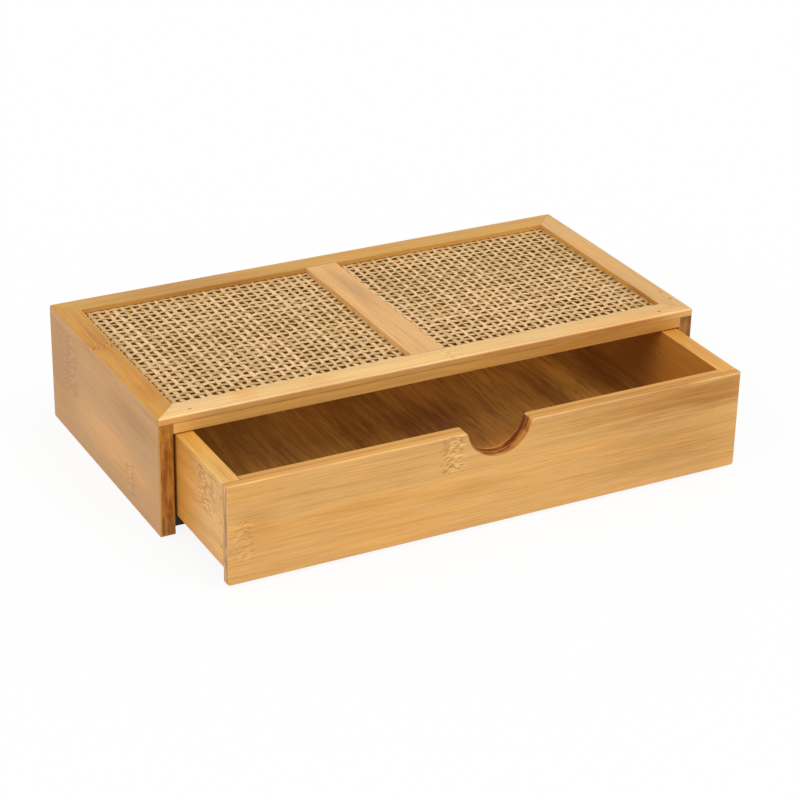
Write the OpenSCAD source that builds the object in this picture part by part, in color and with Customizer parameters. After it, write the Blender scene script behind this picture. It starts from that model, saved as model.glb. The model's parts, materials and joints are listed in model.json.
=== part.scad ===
// Low bamboo storage box with one full-width drawer and a cane-panelled top.
// Origin: middle of the case's underside. +Z is up, and the drawer opens towards -Y. Millimetres.

/* [Case] */
// Width of the case, outside
case_w = 330; // [260:1:420]
// Depth of the case, front to back, without the open drawer
case_d = 162; // [120:1:240]
// Height of the case, floor to the top of the frame
case_h = 70; // [60:0.5:120]
// Thickness of the side panels
side_t = 8.5; // [6:0.5:10.5]
// Thickness of the back panel
back_t = 9; // [7:0.5:12]
// Thickness of the base panel
base_t = 10.5; // [8:0.5:14]

/* [Top frame] */
// Width of the mitred rails and stiles
frame_w = 14; // [13:0.5:24]
// Thickness of the upper frame
frame_t = 4; // [3:0.25:7]
// Width of the centre stile
centre_w = 19.5; // [12:0.5:30]
// Height of the lower frame that clamps the cane
lower_h = 6; // [5:0.25:9]

/* [Cane] */
// Thickness of the woven cane
cane_t = 1.2; // [0.6:0.1:2]
// How far the cane reaches under the frame round its opening
cane_lap = 3; // [2:0.25:3.5]
// Play between the cane's edge and its rebate
cane_play = 0.3; // [0.1:0.1:0.6]
// Distance from one gap in the net to the next
cane_pitch = 11; // [11:0.5:20]
// Width of the net's bars
cane_bar = 5; // [2:0.5:8]

/* [Drawer] */
// How far the drawer stands open
drawer_open = 64; // [10:1:100]
// Thickness of the drawer's side boards
drawer_side_t = 10; // [6:0.5:14]
// Thickness of the drawer's back board
drawer_back_t = 9; // [6:0.5:14]
// Thickness of the front's outer layer
front_outer_t = 4.5; // [3:0.25:8]
// Thickness of the front's inner layer
front_inner_t = 4.5; // [4:0.25:8]
// How far the front hangs below the side boards
front_drop = 9; // [2:0.25:10]
// Thickness of the drawer's floor
floor_t = 4; // [2.5:0.25:6]
// Height of the floor's groove above the lower edge of the side boards
floor_lift = 3; // [2:0.25:6]
// Depth of the grooves that hold the floor
groove_d = 2.5; // [1.5:0.25:3.5]
// Play of the floor in its grooves
floor_play = 0.2; // [0.1:0.05:0.4]

/* [Drawer clearances] */
// Gap between the drawer and a side panel
side_gap = 1.5; // [0.5:0.1:3]
// Running gap under the side boards
run_gap = 0.3; // [0.2:0.05:0.6]
// Gap between the drawer's top edge and the lower frame
head_gap = 0.7; // [0.4:0.1:2]
// Gap between the closed front and the base panel
close_gap = 0.3; // [0.2:0.05:1]
// Gap between the closed drawer and the back panel
rear_gap = 2; // [0.5:0.1:6]

/* [Finger notch] */
// Radius of the notch
notch_r = 19; // [17.5:0.5:30]
// Depth of the notch below the top edge
notch_depth = 16.5; // [10:0.5:17]
// Radius of the eased corners beside the notch
notch_ease = 3; // [1:0.25:6]
// Shift of the notch from the drawer's middle, to the right
notch_shift = 2; // [-6:0.5:6]

/* [Brads] */
// Diameter of a brad's shank
brad_d = 1.2; // [0.8:0.1:1.6]
// Diameter of a brad's head
brad_head_d = 1.8; // [1.6:0.1:2.4]
// Height of a brad's head
brad_head_h = 1; // [0.5:0.1:1.5]
// How far a head is set below the surface
brad_sink = 0.2; // [0.1:0.05:0.5]
// Radial play round a brad
brad_play = 0.05; // [0.02:0.01:0.1]
// Length of the brads through the front rail
rail_brad_l = 8.5; // [6:0.25:9]
// Length of the brads through the right stile
stile_brad_l = 20; // [12:0.5:30]
// Length of the drawer's brads
drawer_brad_l = 22; // [16:0.5:30]
// Distance of the rail brads from the case's side
rail_brad_end = 20; // [17:0.5:40]
// Distance of the rail brads from the case's front
rail_brad_edge = 5; // [3:0.25:7]
// Distance of the right stile's first brad from the case's front
stile_brad_end = 17.5; // [16:0.5:40]
// Step from the right stile's first brad to its second
stile_brad_step = 10.5; // [5:0.5:30]
// Height of the drawer's lowest brads above its floor
drawer_brad_lift = 4.2; // [2:0.2:8]
// Step between the drawer's brads, up the board
drawer_brad_step = 13.8; // [8:0.2:16]
// Least distance of the drawer's brads from its top edge
drawer_brad_edge = 4; // [2:0.5:10]

/* [Dowels] */
// Diameter of the dowels
dowel_d = 5; // [3:0.5:6]
// Reach of a dowel into a side panel
dowel_side = 5; // [3:0.25:5]
// Reach of a dowel into the base or the back
dowel_board = 12; // [8:0.5:25]
// Radial play round a dowel
dowel_play = 0.05; // [0.02:0.01:0.1]
// Room past each end of a dowel
dowel_end = 0.4; // [0.2:0.1:0.5]
// Step between the base's dowels, front to back
base_dowel_step = 48; // [20:1:60]
// Step between the back's dowels, up the panel
back_dowel_step = 26; // [12:1:34]

/* [Hidden] */
$fn = 48;
// Overshoot that makes a cut break cleanly through a face
cut = 1;

bamboo = [0.86, 0.68, 0.44];
bamboo_light = [0.93, 0.77, 0.53];
bamboo_edge = [0.60, 0.40, 0.20];
bamboo_floor = [0.52, 0.34, 0.16];
cane_colour = [0.84, 0.72, 0.52];
dowel_colour = [0.78, 0.62, 0.42];
brad_colour = [0.42, 0.38, 0.34];

half_w = case_w / 2;
half_d = case_d / 2;
// Half of the clear width between the side panels
bay_half_w = half_w - side_t;
frame_z = case_h - frame_t;
lower_z = frame_z - lower_h;

// One of the two openings in the frame, on the +X side
open_x0 = centre_w / 2;
open_x1 = half_w - frame_w;
open_half_d = half_d - frame_w;

front_t = front_outer_t + front_inner_t;
base_y0 = -half_d + front_t + close_gap;
base_y1 = half_d - back_t;

drawer_half_w = bay_half_w - side_gap;
drawer_in_half_w = drawer_half_w - drawer_side_t;
drawer_z0 = base_t + run_gap;
drawer_z1 = lower_z - head_gap;
drawer_y0 = -half_d - drawer_open;
drawer_y1 = half_d - back_t - rear_gap - drawer_open;
front_z0 = drawer_z0 - front_drop;
// Faces between which the drawer's floor lies
tray_y0 = drawer_y0 + front_t;
tray_y1 = drawer_y1 - drawer_back_t;
floor_z = drawer_z0 + floor_lift;

// Finger notch and the eased corner beside it, in the plane of the front
notch_z = drawer_z1 - notch_depth + notch_r;
ease_r = min(notch_ease, notch_depth / 2);
ease_z = drawer_z1 - ease_r;
ease_x = sqrt(pow(notch_r + ease_r, 2) - pow(notch_z - ease_z, 2));
// Slope of the line from the eased corner's centre to the notch's centre
ease_turn = atan2(notch_z - ease_z, ease_x);
// Flats that stand for the notch and for an eased corner
notch_flats = 48;
ease_flats = 8;

// Number of gaps in the net, across and front to back
cane_cols = floor((open_x1 - open_x0) / cane_pitch);
cane_rows = floor(2 * open_half_d / cane_pitch);

rail_brad_x = half_w - rail_brad_end;
rail_brad_y = -half_d + rail_brad_edge;
stile_brad_x = half_w - side_t / 2;
stile_brad_ys = [for (i = [0, 1]) -half_d + stile_brad_end + i * stile_brad_step];
drawer_brad_z = floor_z + floor_t + drawer_brad_lift;
drawer_brad_zs = [for (z = [drawer_brad_z:drawer_brad_step:drawer_z1 - drawer_brad_edge]) z];
front_brad_y = tray_y0 - front_inner_t / 2;
back_brad_y = tray_y1 + drawer_back_t / 2;

base_dowel_ys = [for (i = [-1:1]) (base_y0 + base_y1) / 2 + i * base_dowel_step];
back_dowel_zs = [for (i = [-1, 1]) lower_z / 2 + i * back_dowel_step / 2];
back_dowel_y = half_d - back_t / 2;

// Box between two corners
module block(low, high) {
    translate(low) cube(high - low);
}

// Copies of a left or right piece: -1 is the left one
module handed(side) {
    if (side < 0) {
        mirror([1, 0, 0]) children();
    } else {
        children();
    }
}

// A brad that points down from the surface at z = 0, or its hole with play all round
module brad(len, play = 0) {
    rise = play > 0 ? cut : -brad_sink;
    translate([0, 0, -brad_sink - brad_head_h - play])
        cylinder(d = brad_head_d + 2 * play, h = brad_head_h + play + brad_sink + rise);
    translate([0, 0, -len - play])
        cylinder(d = brad_d + 2 * play, h = len - brad_sink - brad_head_h + 2 * play);
}

module rail_brads(play = 0) {
    for (x = [-rail_brad_x, rail_brad_x])
        translate([x, rail_brad_y, case_h]) brad(rail_brad_l, play);
}

module stile_brads(play = 0) {
    for (y = stile_brad_ys)
        translate([stile_brad_x, y, case_h]) brad(stile_brad_l, play);
}

// Brads through the drawer's side boards at one station along the drawer
module drawer_brads(y, play = 0) {
    for (side = [-1, 1], z = drawer_brad_zs)
        handed(side) translate([drawer_half_w, y, z]) rotate([0, 90, 0]) brad(drawer_brad_l, play);
}

// A dowel across the inner face of the right side panel, or its hole with play all round
module dowel(play = 0) {
    room = play > 0 ? dowel_end : 0;
    translate([bay_half_w - dowel_board - room, 0, 0]) rotate([0, 90, 0])
        cylinder(d = dowel_d + 2 * play, h = dowel_board + dowel_side + 2 * room);
}

module base_dowel_set(play = 0) {
    for (side = [-1, 1], y = base_dowel_ys)
        handed(side) translate([0, y, base_t / 2]) dowel(play);
}

module back_dowel_set(play = 0) {
    for (side = [-1, 1], z = back_dowel_zs)
        handed(side) translate([0, back_dowel_y, z]) dowel(play);
}

module side_panel(side) {
    color(bamboo) difference() {
        handed(side) block([bay_half_w, -half_d, 0], [half_w, half_d, frame_z]);
        base_dowel_set(dowel_play);
        back_dowel_set(dowel_play);
        stile_brads(brad_play);
    }
}

// Outline of the front rail of the mitred frame, seen from above
module rail_outline() {
    polygon([[-half_w, -half_d], [half_w, -half_d], [open_x1, -open_half_d], [-open_x1, -open_half_d]]);
}

// Outline of the right stile of the mitred frame, seen from above
module stile_outline() {
    polygon([[half_w, -half_d], [half_w, half_d], [open_x1, open_half_d], [open_x1, -open_half_d]]);
}

module top_rail(front) {
    color(bamboo_light) difference() {
        translate([0, 0, frame_z]) linear_extrude(frame_t)
            if (front) {
                rail_outline();
            } else {
                mirror([0, 1]) rail_outline();
            }
        cane_beds();
        rail_brads(brad_play);
    }
}

module top_stile(side) {
    color(bamboo_light) difference() {
        handed(side) translate([0, 0, frame_z]) linear_extrude(frame_t) stile_outline();
        cane_beds();
        stile_brads(brad_play);
    }
}

// Room for the cane panels' edges in the underside of the upper frame
module cane_beds() {
    reach = cane_lap + cane_play;
    for (side = [-1, 1])
        handed(side) block(
            [open_x0 - reach, -open_half_d - reach, frame_z - cut],
            [open_x1 + reach, open_half_d + reach, frame_z + cane_t]);
}

// Lower frame piece between two corners
module lower_piece(low, high) {
    color(bamboo) difference() {
        block(low, high);
        rail_brads(brad_play);
    }
}

module lower_rail(front) {
    near = front ? -half_d : open_half_d;
    lower_piece([-bay_half_w, near, lower_z], [bay_half_w, near + frame_w, frame_z]);
}

module lower_stile(side) {
    handed(side) lower_piece([open_x1, -open_half_d, lower_z], [bay_half_w, open_half_d, frame_z]);
}

// Flat net: bars in both directions with square gaps, and a solid margin under the frame
module cane_panel(side) {
    gap = cane_pitch - cane_bar;
    mid_x = (open_x0 + open_x1) / 2;
    color(cane_colour) handed(side) translate([mid_x, 0, frame_z]) linear_extrude(cane_t)
        difference() {
            square([open_x1 - open_x0 + 2 * cane_lap, 2 * (open_half_d + cane_lap)], center = true);
            for (i = [0:cane_cols - 1], j = [0:cane_rows - 1])
                translate([(i - (cane_cols - 1) / 2) * cane_pitch, (j - (cane_rows - 1) / 2) * cane_pitch])
                    square(gap, center = true);
        }
}

// Points along an arc
function arc(centre, r, from, to, flats) = [
    for (i = [0:flats])
        centre + r * [cos(from + (to - from) * i / flats), sin(from + (to - from) * i / flats)]
];

// Outline of a layer of the drawer front, with the finger notch and its eased corners
module front_outline(half) {
    polygon(concat(
        [[-half, front_z0], [half, front_z0], [half, drawer_z1]],
        arc([notch_shift + ease_x, ease_z], ease_r, 90, 180 - ease_turn, ease_flats),
        arc([notch_shift, notch_z], notch_r, -ease_turn, ease_turn - 180, notch_flats),
        arc([notch_shift - ease_x, ease_z], ease_r, ease_turn, 90, ease_flats),
        [[-half, drawer_z1]]));
}

// Layer of the drawer front between two depths
module front_layer(half, y0, y1) {
    translate([0, y1, 0]) rotate([90, 0, 0]) linear_extrude(y1 - y0) front_outline(half);
}

// Groove space round the drawer's floor, or the floor itself with no play
module floor_space(play = 0) {
    reach = groove_d - (play > 0 ? 0 : floor_play);
    block(
        [-drawer_in_half_w - reach, tray_y0 - reach, floor_z],
        [drawer_in_half_w + reach, tray_y1 + reach, floor_z + floor_t + play]);
}

module drawer_side(side) {
    color(bamboo) difference() {
        handed(side) block(
            [drawer_in_half_w, drawer_y0 + front_outer_t, drawer_z0],
            [drawer_half_w, drawer_y1, drawer_z1]);
        floor_space(floor_play);
        drawer_brads(front_brad_y, brad_play);
        drawer_brads(back_brad_y, brad_play);
    }
}

module left_side_panel() { side_panel(-1); }
module right_side_panel() { side_panel(1); }

module back_panel() {
    color(bamboo) difference() {
        block([-bay_half_w, half_d - back_t, 0], [bay_half_w, half_d, lower_z]);
        back_dowel_set(dowel_play);
    }
}

module base_panel() {
    color(bamboo_edge) difference() {
        block([-bay_half_w, base_y0, 0], [bay_half_w, base_y1, base_t]);
        base_dowel_set(dowel_play);
    }
}

module front_top_rail() { top_rail(true); }
module rear_top_rail() { top_rail(false); }
module left_top_stile() { top_stile(-1); }
module right_top_stile() { top_stile(1); }

module centre_top_stile() {
    color(bamboo_light) difference() {
        block([-open_x0, -open_half_d, frame_z], [open_x0, open_half_d, case_h]);
        cane_beds();
    }
}

module front_lower_rail() { lower_rail(true); }
module rear_lower_rail() { lower_rail(false); }
module left_lower_stile() { lower_stile(-1); }
module right_lower_stile() { lower_stile(1); }

module centre_lower_stile() {
    lower_piece([-open_x0, -open_half_d, lower_z], [open_x0, open_half_d, frame_z]);
}

module left_cane_panel() { cane_panel(-1); }
module right_cane_panel() { cane_panel(1); }

module frame_brads() {
    color(brad_colour) {
        rail_brads();
        stile_brads();
    }
}

module base_dowels() { color(dowel_colour) base_dowel_set(); }
module back_dowels() { color(dowel_colour) back_dowel_set(); }

module drawer_outer_front() {
    color(bamboo_light) front_layer(drawer_half_w, drawer_y0, drawer_y0 + front_outer_t);
}

module drawer_inner_front() {
    color(bamboo) difference() {
        front_layer(drawer_in_half_w, drawer_y0 + front_outer_t, tray_y0);
        floor_space(floor_play);
        drawer_brads(front_brad_y, brad_play);
    }
}

module drawer_left_side() { drawer_side(-1); }
module drawer_right_side() { drawer_side(1); }

module drawer_back() {
    color(bamboo) difference() {
        block([-drawer_in_half_w, tray_y1, drawer_z0], [drawer_in_half_w, drawer_y1, drawer_z1]);
        floor_space(floor_play);
        drawer_brads(back_brad_y, brad_play);
    }
}

module drawer_floor() { color(bamboo_floor) floor_space(); }
module drawer_front_brads() { color(brad_colour) drawer_brads(front_brad_y); }
module drawer_back_brads() { color(brad_colour) drawer_brads(back_brad_y); }

left_side_panel();
right_side_panel();
back_panel();
base_panel();
front_top_rail();
rear_top_rail();
left_top_stile();
right_top_stile();
centre_top_stile();
front_lower_rail();
rear_lower_rail();
left_lower_stile();
right_lower_stile();
centre_lower_stile();
left_cane_panel();
right_cane_panel();
frame_brads();
base_dowels();
back_dowels();
drawer_outer_front();
drawer_inner_front();
drawer_left_side();
drawer_right_side();
drawer_back();
drawer_floor();
drawer_front_brads();
drawer_back_brads();
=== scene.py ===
"""Low bamboo storage box with a cane-panelled top and one open drawer, dressed around its CAD frame."""

import itertools
import json
import math
import random

import bmesh
import bpy
from mathutils import Matrix, Vector


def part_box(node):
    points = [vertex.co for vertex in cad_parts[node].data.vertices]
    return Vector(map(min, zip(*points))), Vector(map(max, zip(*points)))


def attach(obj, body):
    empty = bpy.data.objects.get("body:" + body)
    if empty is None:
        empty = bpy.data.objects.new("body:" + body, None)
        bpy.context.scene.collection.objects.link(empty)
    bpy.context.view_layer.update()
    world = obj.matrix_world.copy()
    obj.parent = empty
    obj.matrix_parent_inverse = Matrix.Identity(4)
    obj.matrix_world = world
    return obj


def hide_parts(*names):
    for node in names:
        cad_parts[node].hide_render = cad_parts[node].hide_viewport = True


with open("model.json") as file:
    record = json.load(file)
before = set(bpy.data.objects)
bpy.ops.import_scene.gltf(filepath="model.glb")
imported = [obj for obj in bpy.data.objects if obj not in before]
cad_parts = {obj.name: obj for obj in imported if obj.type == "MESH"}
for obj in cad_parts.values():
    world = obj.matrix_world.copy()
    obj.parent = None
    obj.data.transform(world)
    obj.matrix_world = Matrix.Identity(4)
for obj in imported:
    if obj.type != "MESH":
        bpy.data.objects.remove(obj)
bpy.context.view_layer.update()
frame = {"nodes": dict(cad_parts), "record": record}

bl_info = {
    "name": "Bamboo storage box",
    "version": (1, 0, 0),
    "blender": (4, 5, 0),
    "location": "View3D > Sidebar > Storage box",
    "description": "Boards, woven cane, drawer and studio of a low bamboo storage box",
    "category": "Object",
}

MM = 0.001
AXES = {"X": Vector((1, 0, 0)), "Y": Vector((0, 1, 0)), "Z": Vector((0, 0, 1))}
BODIES = {node: body for body, nodes in frame["record"]["behaviour"]["bodies"].items() for node in nodes}

# Share of a strip's number that its width covers in the cane's map
STRIP_SPAN = 0.45
# Width of the camera's sensor, in millimetres
SENSOR_WIDTH = 36
# Specular level of satin bamboo
BAMBOO_GLOSS = 0.25
# When a face is square to an axis, as a cosine, and how large a slanting face is that counts as a mitre
SQUARE = 0.999
MITRE_AREA = 20 * MM * MM
# Edges that are rounded, edges that are shaded as smooth, and the distance at which vertices merge
SHARP_EDGE = math.radians(40)
SOFT_EDGE = math.radians(35)
MERGE = 0.001 * MM


def in_mm(node):
    """Lowest and highest corner of a node, in millimetres."""
    return [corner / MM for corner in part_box(node)]


# Faces and joints of the box, in millimetres
CASE_SIDE = in_mm("right_side_panel")[1].x
CASE_FRONT = in_mm("front_top_rail")[0].y
CASE_REAR = in_mm("rear_top_rail")[1].y
CASE_TOP = in_mm("front_top_rail")[1].z
RAIL_JOINT = in_mm("front_top_rail")[0].z
DRAWER_SIDE = in_mm("drawer_right_side")[1].x
DRAWER_FACE = in_mm("drawer_outer_front")[0].y
DRAWER_TOP = in_mm("drawer_outer_front")[1].z
FRONT_JOINT = in_mm("drawer_inner_front")[0].y
FLOOR_TOP = in_mm("drawer_floor")[1].z

# Seams: axis, level, width, tint, then the centre and the reach of the stretch that shows them
RAIL_SEAMS = [
    ("Z", RAIL_JOINT, 0.55, (0.60, 0.46, 0.30), (-80, CASE_FRONT, RAIL_JOINT), (170, 40, 40)),
    ("Z", RAIL_JOINT, 0.9, (0.84, 0.75, 0.63), (130, CASE_FRONT, RAIL_JOINT), (80, 40, 40)),
]
FRONT_SEAM = ("Y", FRONT_JOINT, 1.5, (0.84, 0.72, 0.50), (0, FRONT_JOINT, DRAWER_TOP), (900, 90, 90))

# Tints of the grain, of its hue, of the cut ends, of worn edges with a painted highlight on them, and of the
# strokes in a knuckle
GRAIN_PALE = (1.20, 1.25, 1.34)
GRAIN_DARK = (0.80, 0.75, 0.66)
HUE_WARM = (1.03, 0.99, 0.90)
HUE_COOL = (0.98, 1.00, 1.07)
END_PALE = (1.45, 1.60, 1.95)
END_DARK = (0.72, 0.62, 0.50)
WORN_AND_HIGHLIGHT = (1.22, 1.36, 1.85)
STROKE_DARK = (0.60, 0.49, 0.36)
STROKE_PALE = (1.20, 1.31, 1.55)

# Tints of a cane strip's hue, of its sides and of its underside
CANE_WARM = (1.02, 0.985, 0.97)
CANE_COOL = (0.97, 1.00, 0.97)
CANE_SIDE = (0.86, 0.80, 0.63)
CANE_UNDER = (0.75, 0.68, 0.5)


def colour_property(name, description, default):
    """A linear colour that the panel shows as a swatch."""
    return bpy.props.FloatVectorProperty(
        name=name, description=description, subtype="COLOR", size=3, min=0, max=1, default=default)


def length_property(name, description, default):
    """A length in metres."""
    return bpy.props.FloatProperty(name=name, description=description, unit="LENGTH", min=0, default=default)


def number_property(name, description, default, unit="NONE"):
    """A plain number, or one with a unit such as an angle."""
    return bpy.props.FloatProperty(name=name, description=description, unit=unit, default=default)


def vector_property(name, description, default, subtype, unit="NONE"):
    """A place, a direction or a turn."""
    return bpy.props.FloatVectorProperty(
        name=name, description=description, subtype=subtype, unit=unit, default=default)


class BoardSettings(bpy.types.PropertyGroup):
    """How far the edges of the boards are rounded."""

    frame_arris: length_property("Frame arris", "Rounding of the top frame's outer edges", 1.2 * MM)
    board_arris: length_property("Board arris", "Rounding of the boards' free edges", 0.7 * MM)
    joint_arris: length_property("Joint arris", "Easing of edges where two boards meet", 0.18 * MM)
    seam_arris: length_property("Seam arris", "Easing of edges that meet flush in one face", 0.06 * MM)
    plan_round: length_property("Plan rounding", "Rounding of the case's upright corners", 1.5 * MM)
    corner_round: length_property("Corner rounding", "Rounding of the boards' lower corners", 2.0 * MM)
    front_round: length_property("Front rounding", "Rounding of the drawer front's outline", 1.1 * MM)


class BambooSettings(bpy.types.PropertyGroup):
    """Colours of the bamboo, by the boards that have them."""

    rail: colour_property("Front rail", "Top of the front rail", (0.81, 0.505, 0.19))
    rail_face: colour_property("Rail face", "Front face of the front rail", (0.69, 0.37, 0.113))
    under_face: colour_property("Lower rail", "Front face of the rail under it", (0.75, 0.41, 0.11))
    rear_rail: colour_property("Rear rail", "Top of the rear rail", (0.63, 0.325, 0.058))
    left_stile: colour_property("Left stile", "Top of the left stile", (0.61, 0.28, 0.033))
    right_stile: colour_property("Right stile", "Top of the right stile", (0.72, 0.40, 0.13))
    centre: colour_property("Centre stile", "Top of the centre stile", (0.70, 0.385, 0.137))
    recess: colour_property("Recess walls", "Inner edges of the top frame", (0.70, 0.35, 0.074))
    side: colour_property("Side boards", "The case's side and back boards", (0.505, 0.265, 0.087))
    left_end: colour_property("Left end", "Cut ends of the left side board", (0.40, 0.154, 0.019))
    # Painted shade: the left end's colour darkened for the right side board's cut end, which lies in more
    # shade; the other boards' cut ends also take it
    end_and_painted_shade: colour_property("Right end", "Cut ends of the right side board and the inner boards",
                               (0.31, 0.121, 0.015))
    front: colour_property("Drawer front", "Face of the drawer's front", (0.72, 0.39, 0.117))
    front_end: colour_property("Front's ends", "Cut ends of the drawer's front", (0.50, 0.26, 0.10))
    drawer_edge: colour_property("Drawer edges", "Top edges of the drawer's boards", (0.75, 0.37, 0.064))
    drawer_side: colour_property("Drawer sides", "Outer faces of the drawer's sides", (0.63, 0.28, 0.050))
    drawer_inner: colour_property("Drawer inside", "The drawer's inner faces", (0.525, 0.212, 0.034))
    drawer_floor: colour_property("Drawer floor", "Upper face of the drawer's floor", (0.55, 0.245, 0.041))
    inner: colour_property("Inner boards", "Base, lower frame and lit inner faces", (0.78, 0.48, 0.14))
    # Painted shade: near-black colour for the left side board's inner face, which lies in shade in the narrow
    # gap beside the drawer
    shade: colour_property("Shaded face", "Inner face of the case's left side", (0.18, 0.08, 0.025))
    # Painted shade: near-black front edge of the base, which lies in shadow under the drawer
    painted_shade_edge: colour_property("Dark edge", "Front edge of the base", (0.035, 0.012, 0.006))
    cut_dark: colour_property("Dark layers", "Dark layers in the finger notch", (0.15, 0.028, 0.004))
    cut_pale: colour_property("Pale layers", "Pale layers in the finger notch", (0.56, 0.22, 0.036))
    strip: length_property("Strip width", "Width of the strips that the boards are glued from", 23.5 * MM)


class CaneSettings(bpy.types.PropertyGroup):
    """The open square weave of the top panels."""

    pitch: length_property("Pitch", "Distance from one strip to the next", 5.1 * MM)
    warp_width: length_property("Warp width", "Width of a strip that runs from front to rear", 2.6 * MM)
    weft_width: length_property("Weft width", "Width of a strip that runs from left to right", 2.65 * MM)
    thickness: length_property("Strip thickness", "Thickness of a strip", 0.42 * MM)
    lift: length_property("Lift", "How far a strip rises and falls at its crossings", 0.22 * MM)
    wander: length_property("Wander", "How far a strip strays sideways", 0.3 * MM)
    tuck: length_property("Tuck", "How far the strips reach under the frame", 2.8 * MM)
    warp_pale: colour_property("Pale warp", "Palest strips from front to rear", (0.86, 0.595, 0.31))
    warp_tan: colour_property("Tan warp", "Darkest strips from front to rear", (0.61, 0.39, 0.155))
    weft_pale: colour_property("Pale weft", "Palest strips from left to right", (0.82, 0.555, 0.27))
    weft_tan: colour_property("Tan weft", "Darkest strips from left to right", (0.55, 0.335, 0.12))
    seed: bpy.props.IntProperty(name="Seed", description="Seed of the weave's irregularity", default=7)


class StageSettings(bpy.types.PropertyGroup):
    """Camera, lamps and floor."""

    camera_place: vector_property(
        "Camera place", "Where the camera stands", (-0.57534, -1.11925, 0.62922), "TRANSLATION", "LENGTH")
    camera_turn: vector_property(
        "Camera turn", "Euler angles of the camera",
        tuple(math.radians(a) for a in (63.8324, -0.9796, -27.4911)), "EULER", "ROTATION")
    lens: number_property("Lens", "Focal length in millimetres, for the sensor's width", 108.54, "CAMERA")
    sky: number_property("Sky", "Strength of the even light from all round", 0.72)
    key: number_property("Key lamp", "Light of the right lamp on a white card, 1 being white", 0.22)
    key_from: vector_property("Key lamp's side", "Where the right lamp is", (0.35, -0.45, 0.82), "DIRECTION")
    fill: number_property("Fill lamp", "Light of the left lamp on a white card", 0.22)
    fill_from: vector_property("Fill lamp's side", "Where the left lamp is", (-0.8, -0.25, 0.55), "DIRECTION")
    spread: number_property("Lamp spread", "Angle over which each lamp spreads", math.radians(30), "ROTATION")
    floor: colour_property("Floor", "Colour of the floor", (0.97, 0.97, 0.97))
    floor_size: length_property("Floor size", "Half the width of the floor", 6.0)
    floor_glow: number_property("Floor glow", "Share of plain white in the floor that the camera sees", 0.9)


SETTINGS = {
    "box_boards": BoardSettings,
    "box_bamboo": BambooSettings,
    "box_cane": CaneSettings,
    "box_stage": StageSettings,
}


def rgba(colour):
    """A colour with full alpha, as node sockets take it."""
    return (colour[0], colour[1], colour[2], 1.0)


def add_node(tree, kind, inputs=(), **settings):
    """Adds a node. inputs maps an input's name or number to a value, or to a socket that is linked to it."""
    made = tree.nodes.new(kind)
    for key, value in settings.items():
        setattr(made, key, value)
    for key, value in dict(inputs).items():
        if isinstance(value, bpy.types.NodeSocket):
            tree.links.new(value, made.inputs[key])
        else:
            made.inputs[key].default_value = value
    return made


def add_effect(tree, name, inputs):
    """Places a shared shader group in a material, and makes the group the first time. Returns its outputs."""
    group = bpy.data.node_groups.get(name) or build_group(name)
    return add_node(tree, "ShaderNodeGroup", inputs, node_tree=group).outputs


def calc(tree, operation, first, second=0.0, third=0.0):
    """Result of a Math node."""
    return add_node(tree, "ShaderNodeMath", {0: first, 1: second, 2: third}, operation=operation).outputs[0]


def times(tree, first, second):
    """Product of two values."""
    return calc(tree, "MULTIPLY", first, second)


def vector_calc(tree, operation, first, second):
    """Result of a Vector Math node on two vectors."""
    return add_node(tree, "ShaderNodeVectorMath", {0: first, 1: second}, operation=operation).outputs[0]


def length_of(tree, vector):
    """Length of a vector."""
    return add_node(tree, "ShaderNodeVectorMath", {0: vector}, operation="LENGTH").outputs["Value"]


def split(tree, vector):
    """Components of a vector, by axis."""
    return add_node(tree, "ShaderNodeSeparateXYZ", {0: vector}).outputs


def ramp(tree, value, low, high, from_value=0.0, to_value=1.0):
    """Smooth step from one value to another as an input goes from low to high."""
    levels = {"Value": value, "From Min": low, "From Max": high, "To Min": from_value, "To Max": to_value}
    return add_node(tree, "ShaderNodeMapRange", levels, interpolation_type="SMOOTHSTEP").outputs[0]


def blend_colour(tree, factor, first, second, mode="MIX"):
    """Result of a Mix node on two colours."""
    sides = {0: factor, 6: first, 7: second}
    return add_node(tree, "ShaderNodeMix", sides, data_type="RGBA", blend_type=mode).outputs[2]


def tinted(tree, mask, colour, tint):
    """A colour times a tint, as far as a mask goes."""
    return blend_colour(tree, mask, colour, rgba(tint), "MULTIPLY")


def noise(tree, vector, cell, detail=2.0, roughness=0.5):
    """Noise whose lumps have the given size along each axis, in millimetres."""
    scaled = vector_calc(tree, "MULTIPLY", vector, tuple(1 / (size * MM) for size in cell))
    levels = {"Vector": scaled, "Scale": 1.0, "Detail": detail, "Roughness": roughness}
    return add_node(tree, "ShaderNodeTexNoise", levels).outputs[0]


def about_zero(tree, value, size):
    """A value from 0 to 1, moved to lie about 0 and scaled."""
    return times(tree, calc(tree, "SUBTRACT", value, 0.5), size)


def summed(tree, *values):
    """Sum of several values."""
    total = values[0]
    for value in values[1:]:
        total = calc(tree, "ADD", total, value)
    return total


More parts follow.
